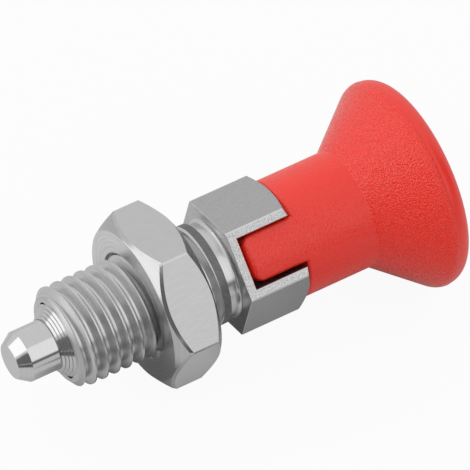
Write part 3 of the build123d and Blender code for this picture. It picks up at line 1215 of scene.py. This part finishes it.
# %% Compression spring
wire_diameter, spring_diameter = 0.65, 6.4
coils, closed_coils, opening_turns = 7, 1, 0.5
closed_gap = 0.03                # between the close end coils
ground_share = 0.35              # of the wire's thickness that is ground off each end
ground_off = ground_share * wire_diameter
wound = chamber_rear - collar_rear - wire_diameter + 2 * ground_off
closed_pitch = wire_diameter + closed_gap
closed_turns = 2 * closed_coils + opening_turns
active_pitch = (wound - closed_turns * closed_pitch) / (coils - closed_turns)
print(f"spring: {coils} coils, {active_pitch:.2f} mm apart where it is open")

spring = link_object("spring_wound", bpy.data.meshes.new("spring_wound"))
run_tree(spring, spring_tree(), {
    "Wire Radius": wire_diameter / 2 * MM, "Coil Radius": spring_diameter / 2 * MM,
    "Coils": float(coils), "Closed Coils": float(closed_coils),
    "Opening Turns": opening_turns, "Closed Pitch": closed_pitch * MM,
    "Active Pitch": active_pitch * MM, "Front": collar_rear * MM, "Rear": chamber_rear * MM,
    "Wire Front": (collar_rear + wire_diameter / 2 - ground_off) * MM,
    "Material": steels["spring"],
})
tidy(spring)

# %% [markdown]
# The grip is one red moulding: a straight neck, a flare to a rounded rim and a shallow
# dome. Its mould parts round the rim, and leaves a fine step there. A cross-bar in front
# of the neck drops into the sleeve's slot. The head is a turned form and the bar is a
# rounded block, joined and then bored for the stem, because that is how the mould's own
# cavities are cut.

# %% Mushroom grip: head
grip_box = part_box("mushroom_grip")
grip_radius = grip_box[1].z / MM
neck_radius, neck_front, neck_rear, neck_edge = 7.0, 8.1, 16.9, 0.2
flare_length, flare_corner, rim_rounding, crown_radius = 7.35, 0.5, 1.95, 36.0
parting_turn = 94.5              # degrees, where on the rim's arc the mould parts
parting_step = 0.07              # the front half's rim stands this much prouder
corner_steps, rim_steps, crown_steps = 6, 12, 30

rim_centre = Vector((neck_rear + flare_length, grip_radius - rim_rounding))
to_rim = rim_centre - Vector((neck_rear, neck_radius))
flare_angle = math.atan2(to_rim.y, to_rim.x) + math.asin(rim_rounding / to_rim.length)
dome_centre = Vector((rim_centre.x - math.sqrt(
    (crown_radius - rim_rounding)**2 - rim_centre.y**2), 0))
rim_way = rim_centre - dome_centre
rim_angle = math.degrees(math.atan2(rim_way.y, rim_way.x))
corner_centre = (neck_rear - flare_corner * math.tan(flare_angle / 2),
                 neck_radius + flare_corner)
flare_turn = math.degrees(flare_angle)


def rear_rim():
    """The rim behind the parting line, which starts a step lower and rises to the dome."""
    steps = 2 * rim_steps
    return [on_circle(rim_centre, rim_rounding - parting_step * (1 - step / steps),
                      parting_turn + (rim_angle - parting_turn) * step / steps)
            for step in range(steps + 1)]


def head_outline(angle):
    """The neck, the flare, the rim on both sides of the parting line, and the dome."""
    return [
        (neck_front, 0),
        (neck_front, neck_radius - neck_edge),
        (neck_front + neck_edge, neck_radius),
        *arc(corner_centre, flare_corner, -90, flare_turn - 90, corner_steps),
        *arc(rim_centre, rim_rounding, flare_turn + 90, parting_turn, rim_steps),
        *rear_rim(),
        *arc(dome_centre, crown_radius, rim_angle, 0, crown_steps)[1:],
    ]


grip = turned("grip_moulded", head_outline, columns())
print(f"flare: {flare_turn:.1f} degrees, parting step {parting_step} mm")

# %% Mushroom grip: cross-bar and stem hole
bar_front, bar_width, bar_rounding = 1.42, 5.45, 0.6
front_rounding, side_rounding = 1.0, 1.4  # at its front, seen from a side and from its end
grip_play = 1.3                  # degrees by which the bar lies askew in the notch
bar_turn = notch_angle - grip_play
bar_reach = neck_radius - 0.015  # just inside the neck, so the two surfaces don't flicker
bar_overlap = 0.3                # how far the bar runs into the neck
bar_steps, bar_corner_steps, bar_end_steps = 14, 8, 24


def fall_away(radius, behind):
    """How far a rounded edge has fallen away, this far behind the front."""
    return radius - math.sqrt(radius**2 - max(radius - behind, 0)**2)


def bar_section(behind):
    """The cross-bar's rounded section, this far behind its front."""
    x = bar_front + behind
    reach = bar_reach - fall_away(front_rounding, behind)
    across = bar_width / 2 - fall_away(side_rounding, behind) - bar_rounding
    along = math.sqrt((reach - bar_rounding)**2 - across**2)
    turn = math.degrees(math.atan2(across, along))
    points = []
    for side, ahead in ((1, 0), (-1, 180)):
        points += arc((side * along, -side * across), bar_rounding, ahead - 90, ahead - turn,
                      bar_corner_steps)
        points += arc((0, 0), reach, ahead - turn, ahead + turn, bar_end_steps)[1:-1]
        points += arc((side * along, side * across), bar_rounding, ahead + turn, ahead + 90,
                      bar_corner_steps)
    return [across_plunger(x, along, across, bar_turn) for along, across in points]


sections = [bar_section(side_rounding * (1 - math.cos(math.pi / 2 * step / bar_steps)))
            for step in range(bar_steps + 1)]
sections.append(bar_section(neck_front + neck_edge + bar_overlap - bar_front))
carve(grip, loft("cross_bar", sections), "UNION")
stem_bore = [(0, 0), (0, stem_radius)] + stem_outline()
carve(grip, turned("stem_bore", lambda angle: stem_bore, columns()))
tidy(grip)
finish_faces(grip, lambda x, r, normal, old: red_plastic)

# %% [markdown]
# Last, each piece is tied to the engineering model. It rides on the body that carries it
# and takes the place of its plain solid. The spring stays with the sleeve, between the pin's
# collar and the chamber's rear end, and gets a mesh of its own.

# %% Bodies
for piece, body, node, slot in (
    (sleeve, "sleeve", "guide_sleeve", "turned_steel"),
    (bush, "sleeve", "guide_bush", "bush_steel"),
    (pin, "plunger", "index_pin", "pin_steel"),
    (spring, "sleeve", "compression_spring", "spring_steel"),
    (grip, "plunger", "mushroom_grip", "red_plastic"),
    (nut, "nut", "locknut", "nut_steel"),
):
    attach(piece, body)
    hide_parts(node)
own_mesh(spring)
